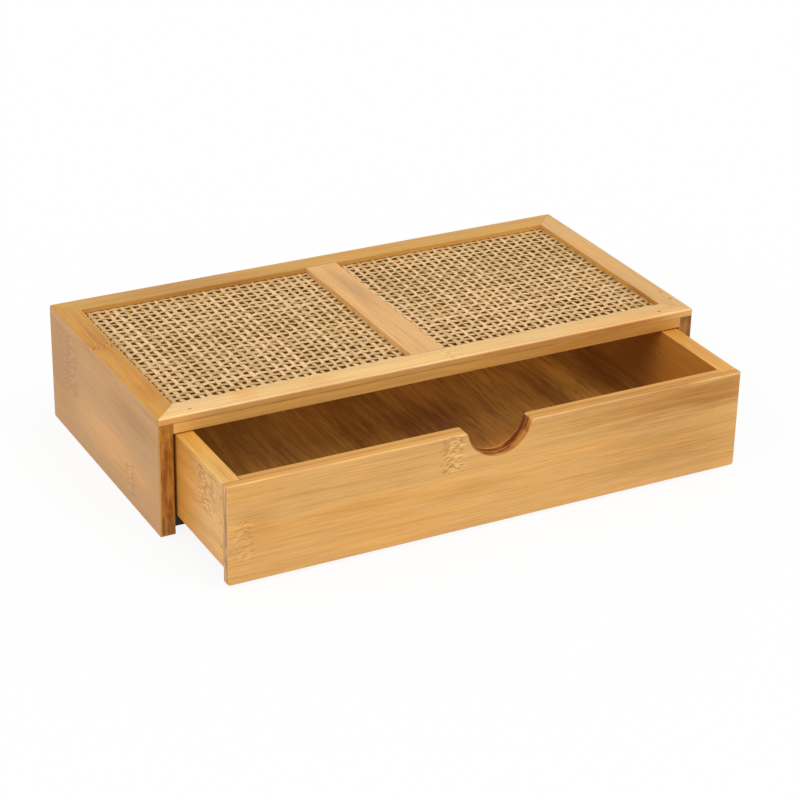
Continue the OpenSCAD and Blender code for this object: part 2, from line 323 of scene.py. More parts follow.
def wire_grain(tree, given, result):
    """Grain of glued bamboo strips. The vector runs along the grain in X and across the strips in Y."""
    across = split(tree, given["Vector"])["Y"]
    share = calc(tree, "DIVIDE", calc(tree, "SUBTRACT", across, given["Strip Start"]), given["Strip Width"])
    number = calc(tree, "MULTIPLY_ADD", given["Seed"], 7.3, calc(tree, "FLOOR", share))
    draw = add_node(tree, "ShaderNodeTexWhiteNoise", {"W": number}, noise_dimensions="1D").outputs
    joint = ramp(tree, calc(tree, "ABSOLUTE", about_zero(tree, calc(tree, "FRACT", share), 1.0)), 0.488, 0.5)
    drift = add_node(tree, "ShaderNodeVectorMath", {0: (0.71, 0.137, 0.29), "Scale": number},
                     operation="SCALE").outputs[0]
    place = vector_calc(tree, "ADD", given["Vector"], drift)
    sway = about_zero(tree, noise(tree, place, (60, 9, 9), 1.0), 1.6 * MM)
    bent = vector_calc(tree, "ADD", place, add_node(tree, "ShaderNodeCombineXYZ", {"Y": sway}).outputs[0])
    broad = noise(tree, bent, (90, 5, 10), 2.0)
    cloud = noise(tree, place, (70, 12, 14), 2.0)
    fibre = noise(tree, bent, (34, 0.6, 0.6), 3.0, 0.6)
    streak = ramp(tree, noise(tree, bent, (46, 1.0, 2.5), 2.0), 0.55, 0.74)
    dash = ramp(tree, noise(tree, bent, (9, 0.55, 0.55), 1.0), 0.60, 0.72)
    shade = summed(
        tree, about_zero(tree, draw["Value"], 0.24), about_zero(tree, broad, 0.6),
        about_zero(tree, fibre, 1.25), times(tree, streak, 0.24),
        times(tree, dash, 0.2), times(tree, joint, 0.25))
    shade = calc(tree, "MULTIPLY_ADD", shade, given["Contrast"], 0.45)
    tint = blend_colour(tree, shade, rgba(GRAIN_PALE), rgba(GRAIN_DARK))
    warmth = summed(tree, cloud, about_zero(tree, split(tree, draw["Color"])["X"], 0.35))
    hue = blend_colour(tree, ramp(tree, warmth, 0.3, 0.7), rgba(HUE_WARM), rgba(HUE_COOL))
    wood = blend_colour(tree, 1.0, given["Base"], blend_colour(tree, 1.0, tint, hue, "MULTIPLY"), "MULTIPLY")
    tree.links.new(wood, result["Color"])
    tree.links.new(calc(tree, "MULTIPLY_ADD", fibre, 0.16, 0.36), result["Roughness"])
    tree.links.new(calc(tree, "MULTIPLY_ADD", streak, -0.5, fibre), result["Height"])


def wire_knuckle(tree, given, result):
    """Band of short slanting strokes, dark and pale, where a bamboo stem had a joint."""
    local = vector_calc(tree, "SUBTRACT", given["Vector"], given["Centre"])
    off = split(tree, vector_calc(tree, "DIVIDE", local, given["Reach"]))
    ragged = about_zero(tree, noise(tree, given["Vector"], (3, 1.5, 3)), 1.1)
    along = ramp(tree, calc(tree, "ADD", calc(tree, "ABSOLUTE", off["X"]), ragged), 1.15, 0.45)
    across = ramp(tree, calc(tree, "ABSOLUTE", off["Y"]), 1.04, 0.94)
    band = times(tree, along, across)
    jitter = about_zero(tree, noise(tree, given["Vector"], (5, 3, 5), 1.0), 2.6 * MM)
    aside = split(tree, local)["X"]
    lean = times(tree, aside, -0.16)
    slant = calc(tree, "MULTIPLY_ADD", calc(tree, "ABSOLUTE", aside), 0.26, lean)
    lift = add_node(tree, "ShaderNodeCombineXYZ", {"Y": calc(tree, "ADD", slant, jitter)}).outputs[0]
    stroke = noise(tree, vector_calc(tree, "ADD", given["Vector"], lift), (4.0, 0.75, 3), 1.0)
    tree.links.new(times(tree, band, ramp(tree, stroke, 0.50, 0.64)), result["Dark"])
    tree.links.new(times(tree, band, ramp(tree, stroke, 0.49, 0.36)), result["Light"])


def wire_patch(tree, given, result):
    """Streaky area of another tone about a point."""
    local = vector_calc(tree, "SUBTRACT", given["Vector"], given["Centre"])
    far = length_of(tree, vector_calc(tree, "DIVIDE", local, given["Reach"]))
    streaky = summed(tree, about_zero(tree, noise(tree, given["Vector"], (40, 1.6, 4), 3.0), 1.1),
                     about_zero(tree, noise(tree, given["Vector"], (16, 0.7, 2)), 0.6))
    tree.links.new(ramp(tree, calc(tree, "ADD", far, streaky), 1.25, 0.1), result["Mask"])


def wire_wear_and_highlight(tree, given, result):
    """Paler rubbed wood and a painted highlight on the rounded edges that look upwards."""
    up = split(tree, given["Normal"])["Z"]
    edge = times(tree, ramp(tree, up, 0.1, 0.4), ramp(tree, up, 0.985, 0.9))
    broken = ramp(tree, noise(tree, given["Vector"], (18, 2, 2), 3.0), 0.3, 0.6, 0.65, 1.0)
    worn_and_highlit = times(tree, edge, broken)
    tree.links.new(times(tree, worn_and_highlit, given["Amount"]), result["Mask"])


def wire_glue_line(tree, given, result):
    """Thin dark line, broken in places, where two boards meet at no distance from a plane."""
    share = calc(tree, "DIVIDE", calc(tree, "ABSOLUTE", given["Distance"]), given["Width"])
    line = ramp(tree, share, 1.0, 0.2)
    broken = ramp(tree, noise(tree, given["Vector"], (22, 3, 3), 2.0), 0.35, 0.55, 0.45, 1.0)
    tree.links.new(times(tree, line, broken), result["Mask"])


def wire_end_grain(tree, given, result):
    """Cut ends of the strips: the lines of the glued layers, blotches and dots of fibre bundles."""
    dots = ramp(tree, noise(tree, given["Vector"], (0.7, 0.7, 0.7)), 0.50, 0.66)
    layers = noise(tree, given["Vector"], (4, 26, 1.9), 2.0)
    blotch = noise(tree, given["Vector"], (6, 11, 4), 2.0)
    shade = summed(
        tree, about_zero(tree, layers, 1.9), about_zero(tree, blotch, 1.7), times(tree, dots, 0.12))
    tint = blend_colour(tree, ramp(tree, shade, -0.45, 0.45), rgba(END_PALE), rgba(END_DARK))
    tree.links.new(blend_colour(tree, 1.0, given["Base"], tint, "MULTIPLY"), result["Color"])
    tree.links.new(dots, result["Height"])


def wire_cut_layers(tree, given, result):
    """Round cut about an axis along Y: where its wall is, and the pale and dark layers that it shows."""
    local = vector_calc(tree, "SUBTRACT", given["Vector"], given["Centre"])
    far = length_of(tree, vector_calc(tree, "MULTIPLY", local, (1, 0, 1)))
    past = calc(tree, "SUBTRACT", far, given["Radius"])
    tree.links.new(ramp(tree, past, 1.15 * MM, 0.3 * MM), result["Mask"])
    layers = summed(
        tree, about_zero(tree, noise(tree, given["Vector"], (30, 1.2, 30), 2.0), 1.9),
        about_zero(tree, noise(tree, given["Vector"], (7, 4, 7), 2.0), 0.7))
    tree.links.new(ramp(tree, layers, -0.2, 0.2), result["Pale"])


# Kinds of the groups' sockets, where they aren't plain numbers
KINDS = {"Vector": "Vector", "Centre": "Vector", "Reach": "Vector", "Normal": "Vector",
         "Base": "Color", "Color": "Color"}
GROUPS = {
    "bamboo_grain": (
        wire_grain, ("Vector", "Base", "Strip Width", "Strip Start", "Contrast", "Seed"),
        ("Color", "Roughness", "Height")),
    "bamboo_knuckle": (wire_knuckle, ("Vector", "Centre", "Reach"), ("Dark", "Light")),
    "bamboo_patch": (wire_patch, ("Vector", "Centre", "Reach"), ("Mask",)),
    "arris_wear_and_highlight": (wire_wear_and_highlight, ("Vector", "Normal", "Amount"), ("Mask",)),
    "glue_line": (wire_glue_line, ("Vector", "Distance", "Width"), ("Mask",)),
    "bamboo_end_grain": (wire_end_grain, ("Vector", "Base"), ("Color", "Height")),
    "cut_layers": (wire_cut_layers, ("Vector", "Centre", "Radius"), ("Mask", "Pale")),
}


def build_group(name):
    """Makes one of the shared shader groups, with its sockets."""
    wire, inputs, outputs = GROUPS[name]
    tree = bpy.data.node_groups.new(name, "ShaderNodeTree")
    for in_out, sockets in (("INPUT", inputs), ("OUTPUT", outputs)):
        for socket in sockets:
            kind = "NodeSocket" + KINDS.get(socket, "Float")
            tree.interface.new_socket(name=socket, in_out=in_out, socket_type=kind)
    wire(tree, tree.nodes.new("NodeGroupInput").outputs, tree.nodes.new("NodeGroupOutput").inputs)
    return tree


def start_material(name):
    """A new material with the gloss of satin bamboo. Returns it, its node tree and its shader."""
    material = bpy.data.materials.new(name)
    material.use_nodes = True
    tree = material.node_tree
    shader = tree.nodes["Principled BSDF"]
    shader.inputs["Specular IOR Level"].default_value = BAMBOO_GLOSS
    return material, tree, shader


def link_surface(tree, shader, colour, rough, height, strength, depth):
    """Gives a shader its colour, its roughness and a relief of some depth."""
    bump = add_node(tree, "ShaderNodeBump", {"Height": height, "Strength": strength, "Distance": depth})
    tree.links.new(colour, shader.inputs["Base Color"])
    tree.links.new(rough, shader.inputs["Roughness"])
    tree.links.new(bump.outputs["Normal"], shader.inputs["Normal"])


def turned(grain, across):
    """Axes of a board, as the matrix that turns its grain to X and its strips' width to Y."""
    third = AXES[grain].cross(AXES[across])
    return Matrix((AXES[grain], AXES[across], third))


def facing_mask(tree, facing, side, low=0.5, high=0.85):
    """1 on faces that look towards a side such as -Y."""
    toward = times(tree, facing[side[1]], 1.0 if side[0] == "+" else -1.0)
    return ramp(tree, toward, low, high)


def bamboo(name, base, grain, across, seed, contrast=1.0, start=0.0, faces=(), patches=(), knuckles=(),
           seams=(), rub=0.4, coarse=1.0, end=None, notch=None):
    """Satin bamboo with its grain along one axis and its strips side by side along another.

    faces holds (side, colour) for sides of another colour, patches (centre, reach, tint) and knuckles
    (centre, reach, depth) in millimetres, seams joints as FRONT_SEAM is, rub how far worn
    edges go pale, as wear and as a painted highlight, coarse how much wider the grain is than usual, end
    the colour of the cut ends and notch the circle of a round cut.
    """
    settings = bpy.context.scene.box_bamboo
    material, tree, shader = start_material(name)
    coords = add_node(tree, "ShaderNodeTexCoord").outputs
    turn = turned(grain, across)
    narrow = Matrix.Diagonal([1.0 if axis == grain else 1 / coarse for axis in AXES])
    vector = add_node(tree, "ShaderNodeMapping", {
        "Vector": coords["Object"], "Rotation": turn.to_euler(), "Scale": narrow.to_scale()}).outputs[0]

    def area(centre, reach):
        return {"Vector": vector, "Centre": turn @ narrow @ (Vector(centre) * MM),
                "Reach": [abs(v) for v in turn @ narrow @ (Vector(reach) * MM)]}

    facing = split(tree, coords["Normal"])
    ground = rgba(base)
    for side, other in faces:
        ground = blend_colour(tree, facing_mask(tree, facing, side), ground, rgba(other))
    wood = add_effect(tree, "bamboo_grain", {
        "Vector": vector, "Base": ground, "Strip Width": settings.strip / coarse,
        "Strip Start": start * MM / coarse, "Contrast": contrast, "Seed": seed})
    colour = wood["Color"]
    rough = wood["Roughness"]
    # Worn edges that look upwards go pale: part wear, part painted highlight
    worn_and_highlit = add_effect(tree, "arris_wear_and_highlight", {"Vector": vector, "Normal": coords["Normal"], "Amount": rub})
    along_edge = ramp(tree, calc(tree, "ABSOLUTE", facing[grain]), 0.4, 0.15)
    worn_and_highlit_mask = times(tree, worn_and_highlit["Mask"], along_edge)
    colour = tinted(tree, worn_and_highlit_mask, colour, WORN_AND_HIGHLIGHT)
    for centre, reach, tint in patches:
        colour = tinted(tree, add_effect(tree, "bamboo_patch", area(centre, reach))["Mask"], colour, tint)
    broad_face = ramp(tree, calc(tree, "ABSOLUTE", facing[({*"XYZ"} - {grain, across}).pop()]), 0.6, 0.9)
    for centre, reach, depth in knuckles:
        strokes = add_effect(tree, "bamboo_knuckle", area(centre, reach))
        shown = times(tree, broad_face, depth)
        colour = tinted(tree, times(tree, strokes["Dark"], shown), colour, STROKE_DARK)
        colour = tinted(tree, times(tree, strokes["Light"], shown), colour, STROKE_PALE)
    # Cut ends default to the darker end colour that the right side board's end has as painted shade
    ends = add_effect(tree, "bamboo_end_grain", {"Vector": vector, "Base": rgba(end or settings.end_and_painted_shade)})
    end_mask = ramp(tree, calc(tree, "ABSOLUTE", facing[grain]), 0.72, 0.92)
    colour = blend_colour(tree, end_mask, colour, ends["Color"])
    if notch:
        cut = add_effect(tree, "cut_layers",
                         {"Vector": coords["Object"], "Centre": notch[0], "Radius": notch[1]})
        layers = blend_colour(tree, cut["Pale"], rgba(settings.cut_dark), rgba(settings.cut_pale))
        colour = blend_colour(tree, cut["Mask"], colour, layers)
        rough = calc(tree, "MAXIMUM", rough, times(tree, cut["Mask"], 0.9))
    for axis, level, width, tint, centre, reach in seams:
        distance = calc(tree, "SUBTRACT", split(tree, coords["Object"])[axis], level * MM)
        line = add_effect(tree, "glue_line", {"Vector": vector, "Distance": distance, "Width": width * MM})
        near = add_effect(tree, "bamboo_patch", area(centre, reach))
        colour = tinted(tree, times(tree, line["Mask"], near["Mask"]), colour, tint)
    end_dots = times(tree, ends["Height"], end_mask)
    height = calc(tree, "MULTIPLY_ADD", end_dots, -0.6, wood["Height"])
    link_surface(tree, shader, colour, rough, height, 0.35, 0.12 * MM)
    return material


def split_cane(name, pale, tan):
    """Split cane: tone and hue by strip, fibres along it, duller sides. The map holds metres and numbers."""
    material, tree, shader = start_material(name)
    parts = split(tree, add_node(tree, "ShaderNodeUVMap", uv_map="strip").outputs[0])
    number = calc(tree, "FLOOR", parts["Y"])
    draw = add_node(tree, "ShaderNodeTexWhiteNoise", {"W": number}, noise_dimensions="1D").outputs
    spread = times(tree, parts["Y"], 9.0 * MM)
    line = add_node(tree, "ShaderNodeCombineXYZ", {"X": parts["X"], "Y": spread}).outputs[0]
    mottle = noise(tree, line, (13, 9, 5), 3.0)
    stain = noise(tree, line, (30, 9, 5), 2.0)
    fibre = noise(tree, line, (14, 0.8, 1), 2.0)
    shade = summed(tree, about_zero(tree, draw["Value"], 0.7), about_zero(tree, mottle, 1.8),
                   about_zero(tree, fibre, 0.8))
    colour = blend_colour(tree, ramp(tree, shade, -0.6, 0.6), rgba(pale), rgba(tan))
    lean = summed(tree, stain, about_zero(tree, split(tree, draw["Color"])["X"], 0.4))
    hue = blend_colour(tree, ramp(tree, lean, 0.3, 0.7), rgba(CANE_WARM), rgba(CANE_COOL))
    colour = blend_colour(tree, 1.0, colour, hue, "MULTIPLY")
    off_middle = calc(tree, "ABSOLUTE", about_zero(tree, calc(tree, "FRACT", parts["Y"]), 1 / STRIP_SPAN))
    colour = tinted(tree, ramp(tree, off_middle, 0.75, 1.0), colour, CANE_SIDE)
    up = split(tree, add_node(tree, "ShaderNodeTexCoord").outputs["Normal"])["Z"]
    colour = tinted(tree, ramp(tree, up, 0.25, -0.35), colour, CANE_UNDER)
    rough = calc(tree, "MULTIPLY_ADD", fibre, 0.25, 0.38)
    link_surface(tree, shader, colour, rough, fibre, 0.5, 0.15 * MM)
    return material


def speckled(name, dark, light):
    """Plain small parts: a mottled colour with a matching roughness."""
    material, tree, shader = start_material(name)
    coords = add_node(tree, "ShaderNodeTexCoord").outputs
    spots = noise(tree, coords["Object"], (0.6, 0.6, 0.6), 3.0)
    tree.links.new(blend_colour(tree, spots, rgba(dark), rgba(light)), shader.inputs["Base Color"])
    tree.links.new(calc(tree, "MULTIPLY_ADD", spots, 0.3, 0.5), shader.inputs["Roughness"])
    return material


def add_object(name, data):
    """A new object in the scene, at the origin."""
    made = bpy.data.objects.new(name, data)
    bpy.context.scene.collection.objects.link(made)
    return made


def finished_mesh(bm, name):
    """Mesh of a finished bmesh, which is freed."""
    mesh = bpy.data.meshes.new(name)
    bm.to_mesh(mesh)
    bm.free()
    return mesh


def add_piece(bm, name, materials, node):
    """Makes an object of a finished mesh, which rides with the CAD node that it stands for."""
    piece = add_object(name, finished_mesh(bm, name))
    for material in materials:
        piece.data.materials.append(material)
    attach(piece, BODIES[node])
    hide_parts(node)
    return piece


def way_of(side):
    """Unit vector towards a side such as -Y."""
    return AXES[side[1]] * (1 if side[0] == "+" else -1)


def side_of(face, outer):
    """Side that a mitred board's face looks towards, M for a mitre, or nothing for a fastener's hole."""
    for axis, way in AXES.items():
        turn = face.normal.dot(way)
        if abs(turn) > SQUARE:
            return ("+" if turn > 0 else "-") + axis
    if face.normal.dot(way_of(outer)) > 0.6:
        return outer
    return "M" if face.calc_area() > MITRE_AREA else ""


def on_side(edge, side, low, high, slack):
    """Whether an edge lies on that side of the board's box. A mitre counts as a side."""
    if side == "M":
        return True
    k = "XYZ".index(side[1])
    level = (high if side[0] == "+" else low)[k]
    return all(abs(vert.co[k] - level) < slack for vert in edge.verts)


def arrises(bm, low, high, outer):
    """Sharp outer edges of a mitred board, by the two sides that meet there."""
    rounded_tip = 0.35 * bpy.context.scene.box_boards.plan_round
    found = {}
    for edge in bm.edges:
        if len(edge.link_faces) != 2 or edge.calc_face_angle(0) < SHARP_EDGE:
            continue
        sides = sorted(side_of(face, outer) for face in edge.link_faces)
        if sides[0] in ("", sides[1]):
            continue
        if all(on_side(edge, s, low, high, rounded_tip if s == outer else 0.01 * MM) for s in sides):
            found.setdefault("".join(sides), []).append(edge)
    return found


def edge_name(first, second):
    """Name of the edge where two sides meet, as the roundings give it."""
    return "".join(sorted((first, second)))


def fan(first, second, span, steps):
    """Directions from one unit vector to another, in the middle of equal steps over a span of degrees."""
    angles = [math.radians(span * (k + 0.5) / steps) for k in range(steps)]
    return [math.cos(angle) * first + math.sin(angle) * second for angle in angles]


def cut_back(bm, point, normal):
    """Cuts away what lies beyond a plane and closes the cut."""
    bmesh.ops.bisect_plane(bm, geom=[*bm.verts, *bm.edges, *bm.faces], dist=0.0001 * MM,
                           plane_co=point, plane_no=normal, clear_outer=True)
    bmesh.ops.holes_fill(bm, edges=[edge for edge in bm.edges if edge.is_boundary])


def round_outer_side(bm, low, high, outer):
    """Rounds a mitred board's outer top edge, and its two tips in plan, by flat cuts along each curve."""
    boards = bpy.context.scene.box_boards
    way = way_of(outer)
    k = "XY".index(outer[1])
    side = Vector((0, 0, high.z))
    side[k] = (high if outer[0] == "+" else low)[k]
    faces = [(side, way)]
    for end, sign in ((low, -1), (high, 1)):
        beyond = Vector((0, 0, 0))
        beyond[1 - k] = sign
        tip = side.copy()
        tip[1 - k] = end[1 - k]
        for normal in fan(way, beyond, 45, 3):
            place = tip + boards.plan_round * (normal - way - beyond)
            cut_back(bm, place, normal)
            faces.append((place, normal))
    for place, normal in faces:
        for slope in fan(normal, AXES["Z"], 90, 4):
            cut_back(bm, place + boards.frame_arris * (slope - normal - AXES["Z"]), slope)
    bmesh.ops.recalc_face_normals(bm, faces=bm.faces)


def round_box(bm, low, high, rounds, usual):
    """Rounds a board along the edges of its box, each by flat cuts along the curve."""
    corners = {"-": low, "+": high}
    for first, second in itertools.combinations([sign + axis for axis in "XYZ" for sign in "+-"], 2):
        radius = rounds.get(edge_name(first, second), usual)
        if first[1] == second[1] or not radius:
            continue
        place = Vector((0, 0, 0))
        for sign, axis in (first, second):
            place["XYZ".index(axis)] = corners[sign]["XYZ".index(axis)]
        steps = 4 if radius > 0.5 * MM else 3
        for normal in fan(way_of(first), way_of(second), 90, steps):
            cut_back(bm, place + radius * (normal - way_of(first) - way_of(second)), normal)


def ease_rim(bm, side, radius, above):
    """Rounds the outline of a board's face above a height, with the cuts in it."""
    way = way_of(side)
    rim = [edge for edge in bm.edges if edge.calc_face_angle(0) > SHARP_EDGE
           and max(vert.co.z for vert in edge.verts) > above
           and any(face.normal.dot(way) > SQUARE for face in edge.link_faces)]
    bmesh.ops.bevel(bm, geom=rim, offset=radius, offset_type="OFFSET", affect="EDGES", profile=0.5,
                    material=-1, segments=5, clamp_overlap=False, loop_slide=True)


def eased_board(node, name, material, rounds, usual, outer=None, rim=None):
    """Copy of a board's solid with rounded arrises. rounds gives radii by the sides that meet.

    outer is the side on which a mitred board is rounded in plan, rim a side, the radius of its outline and
    the height that the rounding begins at.
    """
    low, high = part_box(node)
    bm = bmesh.new()
    bm.from_mesh(frame["nodes"][node].data)
    bmesh.ops.remove_doubles(bm, verts=bm.verts, dist=MERGE)
    bmesh.ops.dissolve_limit(bm, angle_limit=math.radians(0.5), verts=bm.verts, edges=bm.edges)
    if outer:
        round_outer_side(bm, low, high, outer)
        for radius in sorted({usual, *rounds.values()}, reverse=True):
            edges = [edge for sides, group in arrises(bm, low, high, outer).items() for edge in group
                     if rounds.get(sides, usual) == radius]
            bmesh.ops.bevel(bm, geom=edges, offset=radius, offset_type="OFFSET", affect="EDGES", profile=0.5,
                            material=-1, segments=2, clamp_overlap=True, loop_slide=False)
    else:
        round_box(bm, low, high, rounds, usual)
    if rim:
        ease_rim(bm, *rim)
    for face in bm.faces:
        face.smooth = True
    for edge in bm.edges:
        edge.smooth = edge.calc_face_angle(0) < SOFT_EDGE
    piece = add_piece(bm, name, [material], node)
    weighted = piece.modifiers.new("even_faces", "WEIGHTED_NORMAL")
    weighted.keep_sharp = True
    return piece


class BOX_OT_side_boards(bpy.types.Operator):
    """Upright boards at the left and right of the case"""

    bl_idname = "storage_box.side_boards"
    bl_label = "Side boards"

    def execute(self, context):
        boards = context.scene.box_boards
        colours = context.scene.box_bamboo
        left = -CASE_SIDE
        right = CASE_SIDE
        left_knuckles = [((left, 49, 46), (9, 13, 19), 0.7), ((left, -40, 15.5), (9, 9, 10), 0.8)]
        right_knuckles = [((right, -20, 38), (9, 6, 12), 0.5), ((right, 47, 14), (9, 6, 12), 0.5)]
        for side, outward, outside, seed, inward, inner, end, knuckles in (
                # The left board's inner face takes the painted shade colour, the right board's the inner
                # boards' colour
                ("left", "-X", left, 1.3, "+X", colours.shade, colours.left_end, left_knuckles),
                # The right board's cut end takes the end colour darkened as painted shade
                ("right", "+X", right, 2.3, "-X", colours.inner, colours.end_and_painted_shade, right_knuckles)):
            rounds = {
                edge_name("-Y", "-Z"): boards.corner_round,
                edge_name("+Y", "-Z"): boards.corner_round,
                edge_name(outward, "-Y"): boards.plan_round,
                edge_name(outward, "+Y"): boards.plan_round,
                edge_name(outward, "+Z"): boards.seam_arris,
                edge_name("-Y", "+Z"): boards.joint_arris,
                edge_name("+Y", "+Z"): boards.joint_arris,
            }
            tones = [
                ((outside, 66, 44), (20, 34, 40), (0.87, 0.81, 0.74)),
                ((outside, -8, 24), (20, 64, 15), (1.28, 1.23, 1.12)),
                ((outside, -48, 54), (20, 40, 10), (0.82, 0.78, 0.71)),
            ]
            material = bamboo(
                "bamboo_side_" + side, colours.side, "Y", "Z", seed, contrast=0.5, start=3, rub=0.0,
                faces=[(inward, inner)], patches=tones, knuckles=knuckles, end=end)
            eased_board(side + "_side_panel", "side_board_" + side, material, rounds, boards.board_arris)
        return {"FINISHED"}


class BOX_OT_back_and_base(bpy.types.Operator):
    """Board that closes the rear of the case, and the board that it stands on"""

    bl_idname = "storage_box.back_and_base"
    bl_label = "Back and base"

    def execute(self, context):
        boards = context.scene.box_boards
        colours = context.scene.box_bamboo
        knuckles = [((-60, CASE_REAR, 24.7), (6, 9, 11.5), 0.5), ((52, CASE_REAR, 48), (6, 9, 11.5), 0.5)]
        back = bamboo("bamboo_back", colours.side, "X", "Z", 4.1, start=13,
                      faces=[("-Y", colours.inner)], knuckles=knuckles)
        # The base's front edge takes the painted shade colour
        base = bamboo("bamboo_base", colours.inner, "X", "Y", 5.2, faces=[("-Y", colours.painted_shade_edge)])
        eased_board("back_panel", "back_board", back, {}, boards.joint_arris)
        eased_board("base_panel", "base_board", base, {}, boards.joint_arris)
        return {"FINISHED"}


class BOX_OT_top_frame(bpy.types.Operator):
    """Mitred rails and stiles of the top, and the stile between the two panels"""

    bl_idname = "storage_box.top_frame"
    bl_label = "Top frame"

    def execute(self, context):
        boards = context.scene.box_boards
        colours = context.scene.box_bamboo
        front_tones = [
            ((-140, -76, CASE_TOP), (34, 14, 9), (1.05, 1.05, 1.1)),
            ((88, CASE_FRONT, 68), (88, 4, 4), (0.93, 0.79, 0.66)),
            ((162, CASE_FRONT, 67), (26, 4, 3), (1.16, 1.28, 1.38)),
            ((-112, -72, CASE_TOP), (9, 9, 9), (1.0, 0.84, 0.66)),
            ((-70, -74, CASE_TOP), (12, 6, 9), (0.97, 0.86, 0.74)),
            ((132, -74, CASE_TOP), (62, 9, 9), (0.94, 0.85, 0.70)),
        ]
        rear_tones = [
            ((-45, 66.5, 68), (60, 3, 9), (0.82, 0.76, 0.66)),
            ((-90, 74, CASE_TOP), (70, 12, 9), (0.82, 0.77, 0.82)),
            ((30, 74, CASE_TOP), (30, 5, 9), (1.05, 0.94, 0.78)),
        ]
        left_tones = [
            ((-158, 24, CASE_TOP), (9, 20, 9), (0.88, 0.78, 0.62)),
            ((-155, -20, CASE_TOP), (6, 30, 9), (1.0, 0.90, 0.66)),
            ((-158, -48, CASE_TOP), (8, 14, 9), (0.92, 0.82, 0.62)),
        ]
        right_tones = [
            ((151, -46, 68), (1.4, 26, 9), (0.70, 0.58, 0.42)),
            ((156, 20, CASE_TOP), (5, 30, 9), (1.04, 1.0, 0.9)),
        ]
        rail_front = bamboo(
            "bamboo_rail_front", colours.rail, "X", "Y", 6.4, rub=1.0, seams=RAIL_SEAMS,
            faces=[("-Y", colours.rail_face), ("+Y", colours.recess)], patches=front_tones,
            knuckles=[((10, -71, CASE_TOP), (6, 9, 6), 0.35)])
        rail_rear = bamboo(
            "bamboo_rail_rear", colours.rear_rail, "X", "Y", 7.7,
            faces=[("-Y", colours.recess), ("+Y", colours.side)], patches=rear_tones)
        stile_left = bamboo(
            "bamboo_stile_left", colours.left_stile, "Y", "X", 8.5, contrast=1.5, rub=0.4,
            faces=[("-X", colours.side), ("+X", colours.recess)], patches=left_tones,
            knuckles=[((-158, 17, CASE_TOP), (9, 5, 6), 1.0)])
        stile_right = bamboo(
            "bamboo_stile_right", colours.right_stile, "Y", "X", 9.1, rub=0.15,
            faces=[("-X", colours.recess), ("+X", colours.side)], patches=right_tones)
        centre = bamboo(
            "bamboo_stile_centre", colours.centre, "Y", "X", 10.9, contrast=1.3,
            faces=[("+X", colours.recess)], patches=[((2, 30, CASE_TOP), (7, 40, 9), (0.76, 0.76, 0.79))])
        usual = boards.joint_arris
        inner = 2 * usual
        for node, name, material, outer, inward in (
                ("front_top_rail", "frame_rail_front", rail_front, "-Y", "+Y"),
                ("rear_top_rail", "frame_rail_rear", rail_rear, "+Y", "-Y"),
                ("left_top_stile", "frame_stile_left", stile_left, "-X", "+X"),
                ("right_top_stile", "frame_stile_right", stile_right, "+X", "-X")):
            rounds = {edge_name(inward, "+Z"): inner, edge_name(outer, "-Z"): boards.seam_arris}
            eased_board(node, name, material, rounds, usual, outer=outer)
        rounds = {edge_name("-X", "+Z"): inner, edge_name("+X", "+Z"): inner}
        eased_board("centre_top_stile", "frame_stile_centre", centre, rounds, usual)
        return {"FINISHED"}


class BOX_OT_under_frame(bpy.types.Operator):
    """Rails and stiles under the top frame, which clamp the cane"""

    bl_idname = "storage_box.under_frame"
    bl_label = "Under frame"

    def execute(self, context):
        boards = context.scene.box_boards
        usual = boards.joint_arris
        colours = context.scene.box_bamboo
        rail = bamboo(
            "bamboo_under_rail", colours.inner, "X", "Z", 11.6, start=50, seams=RAIL_SEAMS, rub=0.0,
            faces=[("-Y", colours.under_face), ("+Y", colours.side)],
            patches=[((130, CASE_FRONT, 63), (160, 9, 9), (0.84, 0.73, 0.61))])
        stile = bamboo("bamboo_under_stile", colours.inner, "Y", "X", 12.8)
        for place in ("front", "rear"):
            rounds = {edge_name("-Y", "+Z"): boards.seam_arris, edge_name("-Y", "-Z"): 2 * usual}
            eased_board(place + "_lower_rail", "under_rail_" + place, rail, rounds, usual)
        for place in ("left", "right", "centre"):
            eased_board(place + "_lower_stile", "under_stile_" + place, stile, {}, usual)
        return {"FINISHED"}


def strip_path(length, width, wander, draw):
    """Sideways stray, width and tilt of one strip as functions of the distance along it."""
    long_wave = draw.uniform(60, 110) * MM
    short_wave = draw.uniform(11, 26) * MM
    phases = [draw.uniform(0, 2 * math.pi) for _ in range(4)]
    slant = draw.uniform(-0.8, 0.8) * wander
    widths = (width * draw.uniform(0.84, 1.14), draw.uniform(0.04, 0.13))
    tilt = draw.uniform(0.02, 0.08)

    def stray(s):
        waves = math.sin(2 * math.pi * s / long_wave + phases[0])
        waves += 0.5 * math.sin(2 * math.pi * s / short_wave + phases[1])
        return wander * waves + slant * 2 * s / length

    def breadth(s):
        return widths[0] * (1 + widths[1] * math.sin(2 * math.pi * s / short_wave + phases[2]))

    def lean(s):
        return tilt * math.sin(2 * math.pi * s / long_wave + phases[3])

    return stray, breadth, lean


